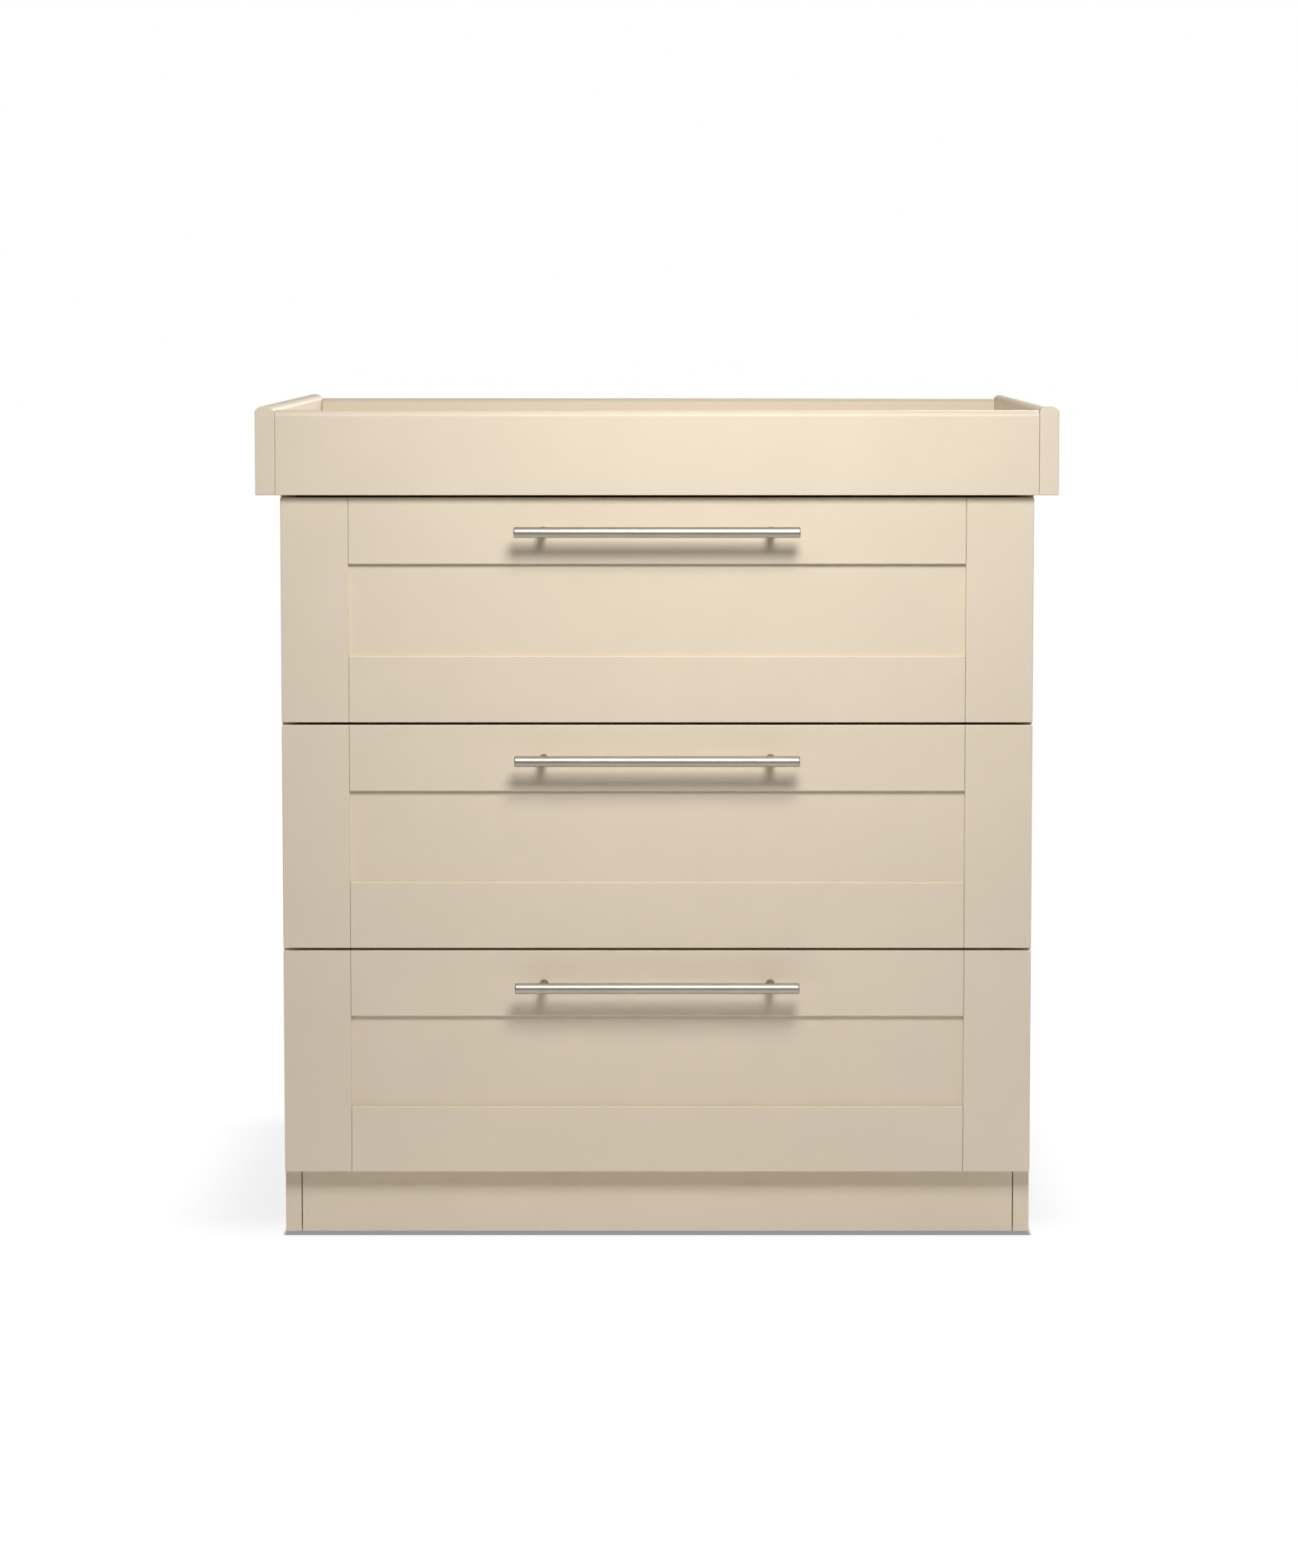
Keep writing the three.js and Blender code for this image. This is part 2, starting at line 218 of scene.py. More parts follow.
def addPiece(name, mesh, body, material, node=None):
    piece = bpy.data.objects.new(name, mesh)
    bpy.context.scene.collection.objects.link(piece)
    mesh.materials.append(material)
    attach(piece, body)
    if node:
        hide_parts(node)
    return piece


# CAD nodes that keep their own shape get a material, and a fine edge where they have one that shows.
# The bevel takes two segments, which is plenty for an edge under half a millimetre.
def dress(nodeNames, material, edge=0.0):
    for name in nodeNames:
        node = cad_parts[name]
        node.data.materials.clear()
        node.data.materials.append(material)
        if edge:
            ease = node.modifiers.new("easedEdges", "BEVEL")
            ease.width, ease.segments, ease.limit_method = edge, 2, "ANGLE"


def camel(node, extra=""):
    words = node.split("_")
    return words[0] + "".join(word.capitalize() for word in words[1:]) + extra


# Reads one value of every element of a mesh collection as a numpy array.
def values(collection, key, width, kind):
    found = np.empty(len(collection) * width, kind)
    collection.foreach_get(key, found)
    return found.reshape(-1, width) if width > 1 else found


# Several closed skins as one mesh, for fittings that come in sets: their points, corners and faces are laid
# end to end, each set of indices raised by what came before it.
def mergedMesh(name, meshes):
    points = [values(mesh.vertices, "co", 3, np.float32) for mesh in meshes]
    corners = [values(mesh.loops, "vertex_index", 1, np.int32) for mesh in meshes]
    starts = [values(mesh.polygons, "loop_start", 1, np.int32) for mesh in meshes]
    normals = np.concatenate([values(mesh.corner_normals, "vector", 3, np.float32) for mesh in meshes])
    pointShift = np.cumsum([0] + [len(p) for p in points])
    cornerShift = np.cumsum([0] + [len(c) for c in corners])
    points = np.concatenate(points)
    corners = np.concatenate([c + shift for c, shift in zip(corners, pointShift)])
    starts = np.concatenate([start + shift for start, shift in zip(starts, cornerShift)])
    merged = bpy.data.meshes.new(name)
    merged.vertices.add(len(points))
    merged.loops.add(len(corners))
    merged.polygons.add(len(starts))
    merged.vertices.foreach_set("co", points.ravel())
    merged.loops.foreach_set("vertex_index", corners.astype(np.int32))
    merged.polygons.foreach_set("loop_start", starts.astype(np.int32))
    merged.polygons.foreach_set("use_smooth", np.ones(len(starts), bool))
    merged.update(calc_edges=True)
    merged.normals_split_custom_set(normals.tolist())
    for mesh in meshes:
        bpy.data.meshes.remove(mesh)
    return merged


def setRange(node, spanFrom, spanTo):
    for key, number in zip(("From Min", "From Max", "To Min", "To Max"), (*spanFrom, *spanTo)):
        node.inputs[key].default_value = number


# A shorthand for building a material's nodes around one Principled shader. In the dictionaries below, a noise
# is its waves per metre, its detail and, where it isn't 0.5, its roughness.
class Recipe:
    def __init__(self, name):
        self.material = bpy.data.materials.new(name)
        self.material.use_nodes = True
        self.tree = self.material.node_tree
        self.shader = next(n for n in self.tree.nodes if n.type == "BSDF_PRINCIPLED")
        self.place = self.tree.nodes.new("ShaderNodeTexCoord").outputs["Object"]

    def node(self, kind, **settings):
        made = self.tree.nodes.new(kind)
        for key, value in settings.items():
            if key in made.inputs:
                self.feed(value, made.inputs[key])
            else:
                setattr(made, key, value)
        return made

    def feed(self, value, socket):
        if isinstance(value, bpy.types.NodeSocket):
            self.tree.links.new(value, socket)
        else:
            socket.default_value = value

    def stretched(self, scale):
        made = self.node("ShaderNodeMapping")
        made.inputs["Scale"].default_value = scale
        self.tree.links.new(self.place, made.inputs["Vector"])
        return made.outputs["Vector"]

    def noise(self, scale, detail, rough=0.5, stretch=None):
        source = self.stretched(stretch) if stretch else self.place
        made = self.node("ShaderNodeTexNoise", Vector=source, Scale=scale, Detail=detail, Roughness=rough)
        return made.outputs["Fac"]

    # Maps a span of the incoming value to low and high. Nearly all of a noise lies between 0.3 and 0.7.
    def spread(self, value, low, high, fromLow=0.3, fromHigh=0.7):
        made = self.node("ShaderNodeMapRange", Value=value)
        setRange(made, (fromLow, fromHigh), (low, high))
        return made.outputs["Result"]

    def tinted(self, share, first, second):
        made = self.node("ShaderNodeMix", data_type="RGBA")
        self.feed(share, made.inputs[0])
        made.inputs[6].default_value = (*first, 1)
        self.feed(second if isinstance(second, bpy.types.NodeSocket) else (*second, 1), made.inputs[7])
        return made.outputs[2]

    def multiplied(self, colour, factor):
        made = self.node("ShaderNodeVectorMath", operation="SCALE")
        self.feed(colour, made.inputs[0])
        self.feed(factor, made.inputs["Scale"])
        return made.outputs[0]

    def bumped(self, height, distance, strength=1.0, under=None):
        made = self.node("ShaderNodeBump", Height=height, Distance=distance, Strength=strength)
        if under is not None:
            self.tree.links.new(under, made.inputs["Normal"])
        return made.outputs["Normal"]

    def finish(self, colour=None, roughness=None, normal=None, **fixed):
        for key, value in fixed.items():
            self.shader.inputs[key.replace("_", " ")].default_value = value
        for key, value in (("Base Color", colour), ("Roughness", roughness), ("Normal", normal)):
            if value is not None:
                self.feed(value, self.shader.inputs[key])
        return self.material


paint = {
    "colour": (0.795, 0.683, 0.530),
    "cooler": (0.785, 0.675, 0.528),
    "roughness": (0.46, 0.56),
    "drift": (2.3, 3.0),        # where the colour turns cooler
    "cloud": (14.0, 4.0), "cloudRange": (0.985, 1.01),
    "speck": (1400.0, 1.0), "speckRange": (0.985, 1.012),
    "sheen": (45.0, 5.0, 0.6),
    "wave": (5.0, 2.0), "waveHeight": 0.25 * mm,
    "peel": (620.0, 2.0, 0.45), "peelHeight": 0.05 * mm, "peelStrength": 0.8,   # of the sprayed surface
}


def paintedBoard():
    r, p = Recipe("satinCreamPaint"), paint
    drift = r.spread(r.noise(*p["drift"]), 0.0, 1.0)
    cloud = r.spread(r.noise(*p["cloud"]), *p["cloudRange"])
    speck = r.spread(r.noise(*p["speck"]), *p["speckRange"])
    colour = r.multiplied(r.multiplied(r.tinted(drift, p["colour"], p["cooler"]), cloud), speck)
    roughness = r.spread(r.noise(*p["sheen"]), *p["roughness"])
    board = r.bumped(r.noise(*p["wave"]), p["waveHeight"])
    peel = r.bumped(r.noise(*p["peel"]), p["peelHeight"], p["peelStrength"], board)
    return r.finish(colour, roughness, peel, IOR=1.5, Specular_IOR_Level=0.5)


foil = {
    "colour": (0.80, 0.78, 0.73),
    "grain": (0.765, 0.742, 0.69),
    "roughness": (0.42, 0.55),
    "alongDepth": (1.0, 0.06, 1.0),     # stretch of the print on the box's sides
    "alongWidth": (0.06, 1.0, 1.0),     # and on its back
    "lines": (160.0, 6.0, 0.62), "lineSpan": (0.42, 0.66),
    "pores": (900.0, 2.0, 0.5), "poreSpan": (0.55, 0.75),
    "poreHeight": 0.04 * mm, "poreStrength": 0.6,
}


def foiledBoard(name, stretch):
    r, f = Recipe(name), foil
    grain = r.spread(r.noise(*f["lines"], stretch), 0.0, 1.0, *f["lineSpan"])
    pores = r.spread(r.noise(*f["pores"], stretch), 0.0, 1.0, *f["poreSpan"])
    colour = r.tinted(grain, f["colour"], f["grain"])
    normal = r.bumped(pores, f["poreHeight"], f["poreStrength"])
    return r.finish(colour, r.spread(grain, *f["roughness"], 0.0, 1.0), normal, IOR=1.48)


hardboard = {
    "bare": (0.43, 0.29, 0.17),
    "fibre": (0.30, 0.19, 0.105),
    "coated": (0.79, 0.72, 0.62),
    "roughness": (0.45, 0.78),          # coated, bare
    "turn": (0.4, 0.6),                 # how far a face looks the bare way before it shows bare
    "fibres": (420.0, 8.0, 0.7), "fibreSpan": (0.38, 0.68),
    "blotch": (9.0, 4.0), "blotchRange": (0.9, 1.08),
    "mottle": (700.0, 2.0), "mottleRange": (0.97, 1.02),
    "pressing": (520.0, 6.0, 0.7), "pressingHeight": 0.08 * mm, "pressingStrength": 0.7,
}


# Thin board, coated on the face that shows and bare on the other. Which face is which comes from the way
# that it looks: towards bareSign on bareAxis it is bare.
def thinBoard(name, bareAxis, bareSign):
    r, h = Recipe(name), hardboard
    facing = r.node("ShaderNodeSeparateXYZ")
    r.tree.links.new(r.node("ShaderNodeNewGeometry").outputs["Normal"], facing.inputs[0])
    bare = r.spread(facing.outputs[bareAxis], 0.0, 1.0, h["turn"][0] * bareSign, h["turn"][1] * bareSign)
    fibre = r.spread(r.noise(*h["fibres"]), 0.0, 1.0, *h["fibreSpan"])
    blotch = r.spread(r.noise(*h["blotch"]), *h["blotchRange"])
    brown = r.multiplied(r.tinted(fibre, h["bare"], h["fibre"]), blotch)
    mottle = r.spread(r.noise(*h["mottle"]), *h["mottleRange"])
    colour = r.tinted(bare, h["coated"], brown)
    normal = r.bumped(r.noise(*h["pressing"]), h["pressingHeight"], h["pressingStrength"])
    roughness = r.spread(bare, *h["roughness"], 0.0, 1.0)
    return r.finish(r.multiplied(colour, mottle), roughness, normal, IOR=1.45)


nickel = {
    "colour": (0.59, 0.55, 0.48),
    "shade": (0.54, 0.50, 0.435),
    "rim": (0.40, 0.38, 0.35),  # what the metal gives back at a glancing angle
    "roughness": (0.34, 0.40),
    "haze": (40.0, 3.0),
    "lines": (2600.0, 2.0, 0.6), "lineStretch": (2.0, 0.12, 0.12),
    "lineHeight": 0.002 * mm, "lineStrength": 0.5,
}


# Brushed round the bar: very fine lines side by side along it.
def satinNickel():
    r, n = Recipe("satinNickel"), nickel
    lines = r.noise(*n["lines"], n["lineStretch"])
    haze = r.spread(r.noise(*n["haze"]), 0.0, 1.0)
    colour = r.tinted(haze, n["colour"], n["shade"])
    roughness = r.spread(lines, *n["roughness"])
    return r.finish(colour, roughness, r.bumped(lines, n["lineHeight"], n["lineStrength"]), Metallic=1.0,
                    Specular_Tint=(*n["rim"], 1))


zinc = {
    "colour": (0.62, 0.62, 0.61),
    "shade": (0.54, 0.545, 0.55),
    "roughness": (0.28, 0.42),
    "cells": 240.0, "cellSpan": (0.1, 0.7), "cellShare": 0.7,   # the crystal pattern of the coating
    "drawn": (700.0, 4.0, 0.6), "drawnStretch": (1.0, 0.02, 1.0),
    "drawnHeight": 0.02 * mm, "drawnStrength": 0.6,
}


# Steel that was drawn along the drawer's depth and then coated.
def zincSteel():
    r, z = Recipe("zincSteel"), zinc
    drawn = r.noise(*z["drawn"], z["drawnStretch"])
    cells = r.node("ShaderNodeTexVoronoi", Vector=r.place, Scale=z["cells"]).outputs["Distance"]
    colour = r.tinted(r.spread(cells, 0.0, z["cellShare"], *z["cellSpan"]), z["colour"], z["shade"])
    roughness = r.spread(drawn, *z["roughness"])
    return r.finish(colour, roughness, r.bumped(drawn, z["drawnHeight"], z["drawnStrength"]), Metallic=1.0)


nylon = {
    "colour": (0.035, 0.033, 0.03),
    "fleck": (0.055, 0.052, 0.048),
    "roughness": (0.5, 0.62),
    "grain": (1100.0, 3.0), "grainHeight": 0.03 * mm, "grainStrength": 0.6,
}


def darkNylon():
    r, n = Recipe("darkNylon"), nylon
    grain = r.noise(*n["grain"])
    colour = r.tinted(r.spread(grain, 0.0, 1.0), n["colour"], n["fleck"])
    roughness = r.spread(grain, *n["roughness"])
    return r.finish(colour, roughness, r.bumped(grain, n["grainHeight"], n["grainStrength"]), IOR=1.5)


cream = paintedBoard()
foilAlong = foiledBoard("whiteFoilAlong", foil["alongDepth"])
foilAcross = foiledBoard("whiteFoilAcross", foil["alongWidth"])
backBoard = thinBoard("backBoard", 1, 1)
baseBoard = thinBoard("drawerBaseBoard", 2, -1)
nickelFinish = satinNickel()
zincFinish = zincSteel()
nylonFinish = darkNylon()
print("materials made:", len(bpy.data.materials))


caseBoards = {
    "edge": 0.9 * mm,
    "along": {"left_side_panel": 2, "right_side_panel": 2, "top_panel": 0, "bottom_panel": 0,
              "front_plinth": 0, "rear_plinth": 0, "rear_top_rail": 0},
}


# A plain board: its cross-section, a rectangle with rounded corners, carried along the axis that it runs on.
def plainBoard(node, axis, edge):
    low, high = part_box(node)
    p, q = [i for i in range(3) if i != axis]
    corners = [(low[p], low[q]), (high[p], low[q]), (high[p], high[q]), (low[p], high[q])]
    outline = roundedOutline(corners, edge)
    return closedSkin(camel(node), *easedPrism(outline, axis, low[axis], high[axis], edge))


for node, axis in caseBoards["along"].items():
    board = plainBoard(node, axis, caseBoards["edge"])
    addPiece(camel(node, "Board"), board, "case", cream, node)
print("case boards made")


trayShape = {
    "rise": 5.7 * mm,           # of the crown over the boards' thickness
    "shoulder": 3.2 * mm,
    "foot": 1.1 * mm,           # radius of the lower corners
    "archSteps": 40,
    "endEase": 1.2 * mm,        # front and rear ends of the side boards
    "jointEase": 0.45 * mm,     # ends that butt against the side boards
}


def trayBoard(node, axis, ease):
    low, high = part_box(node)
    across = 1 - axis
    middle = (low[across] + high[across]) / 2
    outline = crownedOutline(middle, low[across], high[across], low.z, high.z, trayShape)
    mesh = closedSkin(camel(node), *easedPrism(outline, axis, low[axis], high[axis], ease))
    addPiece(camel(node, "Crowned"), mesh, "tray", cream, node)


for side in sides:
    trayBoard(f"tray_{side}_board", 1, trayShape["endEase"])
for end in ("front", "rear"):
    trayBoard(f"tray_{end}_board", 0, trayShape["jointEase"])
print("tray made")


frontShape = {
    "outerEdge": 1.1 * mm,
    "windowEdge": 1.1 * mm,
    "jointEase": 0.45 * mm,
    "backEdge": 0.6 * mm,
    "groovePlay": 0.3 * mm,
    "play": 0.2 * mm,           # of the tenons in their grooves
    "tenonRoot": 2 * mm,        # how far a tenon starts inside its rail
    "grooveEdge": 0.1 * mm,
}
boxShape = {"edge": 0.7 * mm, "grooveEdge": 0.1 * mm}


# The frame round a drawer's centre panel: two stiles and two rails, grooved for the panel. Stub tenons on the
# rails close the stiles' grooves above and below it.
def frontFrame(level):
    f = frontShape
    prefix, body = f"{level}_drawer_", f"{level}_drawer"
    panelLow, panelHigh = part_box(prefix + "centre_panel")
    groove = (panelLow.y - f["groovePlay"], panelHigh.y + f["groovePlay"])
    edges = (f["outerEdge"], f["windowEdge"], f["backEdge"], f["backEdge"])
    for side, sign in sides.items():
        node = f"{prefix}{side}_stile"
        low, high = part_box(node)
        depth = (panelHigh.x - low.x if sign > 0 else high.x - panelLow.x) + f["groovePlay"]
        points, radii = groovedRectangle((low.x, low.y), (high.x, high.y), "-p" if sign > 0 else "+p",
                                         groove, depth, edges, f["grooveEdge"])
        shape = easedPrism(roundedOutline(points, radii), 2, low.z, high.z, f["outerEdge"])
        addPiece(camel(node, "Board"), closedSkin(camel(node), *shape), body, cream, node)
    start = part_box(prefix + "left_stile")[1].x + f["groovePlay"]
    for name, face in (("lower_rail", "+q"), ("upper_rail", "-q")):
        node = prefix + name
        low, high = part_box(node)
        depth = (panelHigh.z - low.z if face == "-q" else high.z - panelLow.z) + f["groovePlay"]
        points, radii = groovedRectangle((low.y, low.z), (high.y, high.z), face, groove, depth, edges,
                                         f["grooveEdge"])
        shape = easedPrism(roundedOutline(points, radii), 0, start, -start, f["jointEase"])
        parts = [closedSkin("rail", *shape)]
        front, back = groove[0] + f["play"], groove[1] - f["play"]
        foot, top = low.z + f["play"], high.z - f["play"]
        section = roundedOutline([(front, foot), (back, foot), (back, top), (front, top)], f["play"])
        for sign in sides.values():
            ends = sorted((sign * (abs(start) - f["tenonRoot"]), sign * panelHigh.x))
            parts.append(closedSkin("tenon", *easedPrism(section, 0, *ends, f["play"])))
        addPiece(camel(node, "Board"), mergedMesh(camel(node), parts), body, cream, node)
    dress([prefix + "centre_panel"], cream)


# The box behind a front: two sides, grooved for the base and eased half as much at their ends, and the back.
def drawerBox(level):
    prefix, body = f"{level}_drawer_", f"{level}_drawer"
    baseLow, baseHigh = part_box(prefix + "base")
    play = frontShape["groovePlay"]
    edge = boxShape["edge"]
    for side, sign in sides.items():
        node = f"{prefix}{side}_side"
        low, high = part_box(node)
        depth = (baseHigh.x - low.x if sign > 0 else high.x - baseLow.x) + play
        groove = (baseLow.z - play, baseHigh.z + play)
        points, radii = groovedRectangle((low.x, low.z), (high.x, high.z), "-p" if sign > 0 else "+p",
                                         groove, depth, (edge,) * 4, boxShape["grooveEdge"])
        shape = easedPrism(roundedOutline(points, radii), 1, low.y, high.y, edge / 2)
        addPiece(camel(node, "Board"), closedSkin(camel(node), *shape), body, foilAlong, node)
    node = prefix + "back"
    addPiece(camel(node, "Board"), plainBoard(node, 0, edge), body, foilAcross, node)


handleShape = {
    "endRadius": 1.5 * mm,
    "postRadius": 5.0 * mm,
    "postFoot": 0.5 * mm,       # eased edge where a post meets the rail
    "postSpacing": 256 * mm,
    "count": 64, "endSteps": 6,
}
tip = 0.05 * mm                 # turned pieces are closed by a flat spot of this radius


# A round bar with eased ends, and two posts that run from the rail into it and end a third of its radius
# short of its middle.
def barHandle(level):
    h = handleShape
    node, body = f"{level}_drawer_handle", f"{level}_drawer"
    low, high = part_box(node)
    barRadius = (high.z - low.z) / 2
    barY, barZ, half = low.y + barRadius, (low.z + high.z) / 2, (high.x - low.x) / 2
    ring = turned([(-half, tip), (-half, barRadius), (half, barRadius), (half, tip)],
                  [0, h["endRadius"], h["endRadius"], 0], (0, barY, barZ), 0, h["count"],
                  steps=h["endSteps"])
    name = camel(node, "Bar")
    addPiece(name, closedSkin(name, *ring), body, nickelFinish, node)
    reach = high.y - barY - barRadius / 3
    for side, sign in sides.items():
        ring = turned([(0, tip), (0, h["postRadius"]), (reach, h["postRadius"]), (reach, tip)],
                      [0, h["postFoot"], h["postFoot"], 0], (sign * h["postSpacing"] / 2, high.y, barZ), 1,
                      h["count"], sign=-1)
        name = camel(f"{node}_{side}_post")
        addPiece(name, closedSkin(name, *ring), body, nickelFinish)


for level in levels:
    frontFrame(level)
    drawerBox(level)
    barHandle(level)
print("drawers made")


runnerShape = {
    "wall": 1.2 * mm,
    "bend": 2.6 * mm,           # outer radius where the web turns into a flange
    "lip": 0.5 * mm,
    "endEase": 0.25 * mm,
    "bendSteps": 5, "endSteps": 2,
}


# A folded steel channel: a C-shaped outline with round bends, carried along the drawer's depth.
def runnerChannel(node, body, web, mouth):
    s = runnerShape
    w, bend, lip = s["wall"], s["bend"], s["lip"]
    low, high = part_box(node)
    inner = web + math.copysign(w, mouth - web)
    points = [(mouth, low.z), (web, low.z), (web, high.z), (mouth, high.z), (mouth, high.z - w),
              (inner, high.z - w), (inner, low.z + w), (mouth, low.z + w)]
    radii = [lip, bend, bend, lip, lip, bend - w, bend - w, lip]
    outline = roundedOutline(points, radii, s["bendSteps"])
    shape = easedPrism(outline, 1, low.y, high.y, s["endEase"], s["endSteps"])
    addPiece(camel(node, "Channel"), closedSkin(camel(node), *shape), body, zincFinish, node)


for level in levels:
    for side, sign in sides.items():
        for node, body, webSide in ((f"{level}_{side}_cabinet_runner", "case", sign),
                                    (f"{level}_drawer_{side}_runner", f"{level}_drawer", -sign)):
            low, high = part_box(node)
            web, mouth = (high.x, low.x) if webSide > 0 else (low.x, high.x)
            runnerChannel(node, body, web, mouth)

screwShape = {
    "handle": (4.4 * mm, 2.4 * mm),         # head radius and height
    "runner": (3.6 * mm, 1.1 * mm),
    "bracket": (3.6 * mm, 2.0 * mm),
    "dome": 0.75,                           # share of the height that is lost at the rim
    "slotWidth": 0.55 * mm, "slotOn": 4 * mm,   # width of the cross's slopes on a head of this radius
    "slotReach": 1.6,                       # a slope ends this many widths from the cross's middle line
    "slotDepth": 0.6,                       # share of the head's height
    "slotEnd": 0.68, "slotFade": 9,         # the cross ends at this share of the radius, this steeply
    "turns": 64, "rows": 14, "span": (0.01, 0.94),
    "twist": 0.3, "twistStep": 0.7,         # radians: the first screw of a set, and each one after it
}


# A domed screw head with a cross cut into it, as one grid of angle and radius. Height above the seat is
# height * (1 - dome * share^4), share being the radius over the head's radius, less the cross: a trough along
# both diameters that fades out at two thirds of the radius. The rim drops to the seat.
def screwHead(name, centre, axis, sign, kind, twist):
    s = screwShape
    radius, height = s[kind]
    first, second, along = axesFor(axis, sign)
    share = np.concatenate([np.linspace(*s["span"], s["rows"]), [1.0, 1.0]])[:, None]
    t = np.linspace(0, 2 * np.pi, s["turns"], endpoint=False)[None]
    p, q = share * radius * np.cos(t), share * radius * np.sin(t)
    nearest = np.minimum(np.abs(p), np.abs(q))
    width = s["slotWidth"] * radius / s["slotOn"]
    fade = np.clip((s["slotEnd"] - share) * s["slotFade"], 0, 1)
    trough = np.clip(s["slotReach"] - nearest / width, 0, 1) * fade
    rise = height * (1 - s["dome"] * share ** 4) * (1 - s["slotDepth"] * trough)
    rise[-1] = 0
    turnedP = p * math.cos(twist) - q * math.sin(twist)
    turnedQ = p * math.sin(twist) + q * math.cos(twist)
    rings = (np.array(centre) + turnedP[..., None] * first + turnedQ[..., None] * second
             + rise[..., None] * along)
    return closedSkin(name, rings)


# A set of like screws as one piece, each turned a little further than the one before it.
def screwSet(name, body, kind, places, axis, sign):
    heads = [screwHead("head", place, axis, sign, kind, screwShape["twistStep"] * i + screwShape["twist"])
             for i, place in enumerate(places)]
    addPiece(name, mergedMesh(name, heads), body, zincFinish)


runnerScrews = {"front": 36 * mm, "rear": 46 * mm}      # from the ends of a runner
for level in levels:
    handleLow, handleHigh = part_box(f"{level}_drawer_handle")
    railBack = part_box(f"{level}_drawer_upper_rail")[1].y
    handleZ = (handleLow.z + handleHigh.z) / 2
    screwSet(camel(f"{level}_drawer_handle_screws"), f"{level}_drawer", "handle",
             [(sign * handleShape["postSpacing"] / 2, railBack, handleZ) for sign in sides.values()], 1, 1)
    for side, sign in sides.items():
        for node, body, facing in ((f"{level}_{side}_cabinet_runner", "case", -sign),
                                   (f"{level}_drawer_{side}_runner", f"{level}_drawer", sign)):
            low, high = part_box(node)
            web = (low.x if facing > 0 else high.x) + facing * runnerShape["wall"]
            spots = (low.y + runnerScrews["front"], (low.y + high.y) / 2, high.y - runnerScrews["rear"])
            screwSet(camel(node, "Screws"), body, "runner", [(web, y, (low.z + high.z) / 2) for y in spots],
                     0, facing)

# The bracket's lower leaf lies on the back panel. Its two screws sit this high on it and this far apart.
bracketScrews = {"spacing": 24 * mm, "rise": 17 * mm, "leaf": 2 * mm}
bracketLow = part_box("wall_bracket")[0]
leafFace = bracketLow.y + bracketScrews["leaf"]
screwSet("wallBracketScrews", "case", "bracket",
         [(sign * bracketScrews["spacing"] / 2, leafFace, bracketLow.z + bracketScrews["rise"])
          for sign in sides.values()], 1, 1)
print("runners and screws made")

cageShape = {
    "ball": 1.4 * mm, "count": 6, "pitch": 17 * mm, "start": 10 * mm,
    "row": 19.8 * mm,           # ball row above and below the runner's middle
    "inset": 6.6 * mm,          # ball row from the side panel's face
    "latitudes": 7, "longitudes": 12,
    "lastLatitude": 1.45,       # radians; the flat caps close a ball past it
    "strip": 0.6 * mm,          # thickness of the cage's strip
    "behind": 2.6 * mm, "before": 1.0 * mm, "beyond": 0.35 * mm,    # its reach past the balls' middles
    "bend": 1.1 * mm, "innerBend": 0.5 * mm, "lip": 0.15 * mm,
    "endEase": 0.1 * mm, "endSteps": 1,
}


# The balls that a drawer rides on, held in a folded strip near the mouth of the cabinet runner. A ball is a
# grid of latitude u and longitude t: centre + radius * (cos u cos t, sin u, cos u sin t).
def ballCage(level, side, sign):
    c = cageShape
    low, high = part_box(f"{level}_{side}_cabinet_runner")
    centreZ = (low.z + high.z) / 2
    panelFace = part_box(f"{side}_side_panel")[0 if sign > 0 else 1].x
    ballX = panelFace - sign * c["inset"]
    u = np.linspace(-c["lastLatitude"], c["lastLatitude"], c["latitudes"])[:, None]
    t = np.linspace(0, 2 * np.pi, c["longitudes"], endpoint=False)[None]
    unit = np.stack([np.cos(u) * np.cos(t), np.sin(u) + 0 * t, np.cos(u) * np.sin(t)], -1)
    balls = []
    for row in (-1, 1):
        for i in range(c["count"]):
            middle = np.array([ballX, low.y + c["start"] + i * c["pitch"], centreZ + row * c["row"]])
            balls.append(closedSkin("ball", middle + c["ball"] * unit))
    name = camel(f"{level}_{side}_runner_balls")
    addPiece(name, mergedMesh(name, balls), "case", zincFinish)
    web, mouth = ballX + sign * c["behind"], ballX - sign * c["before"]
    inner = web - sign * c["strip"]
    top, foot = centreZ + c["row"] + c["beyond"], centreZ - c["row"] - c["beyond"]
    points = [(mouth, foot), (web, foot), (web, top), (mouth, top), (mouth, top - c["strip"]),
              (inner, top - c["strip"]), (inner, foot + c["strip"]), (mouth, foot + c["strip"])]
    lip, bend, innerBend = c["lip"], c["bend"], c["innerBend"]
    radii = [lip, bend, bend, lip, lip, innerBend, innerBend, lip]
    front, rear = low.y + c["start"] / 2, low.y + c["start"] + c["count"] * c["pitch"] - c["pitch"] / 2
    shape = easedPrism(roundedOutline(points, radii), 1, front, rear, c["endEase"], c["endSteps"])
    name = camel(f"{level}_{side}_runner_cage")
    addPiece(name, closedSkin(name, *shape), "case", zincFinish)


for level in levels:
    for side, sign in sides.items():
        ballCage(level, side, sign)

bumperShape = {
    "radius": 4.0 * mm, "height": 1.6 * mm, "count": 24,
    "foot": 0.1 * mm, "ease": 0.7 * mm,
    "fromEnd": 9 * mm,          # in from the side panel's outer face
    "fromEdge": 22 * mm,        # from the front's upper and lower edges
}


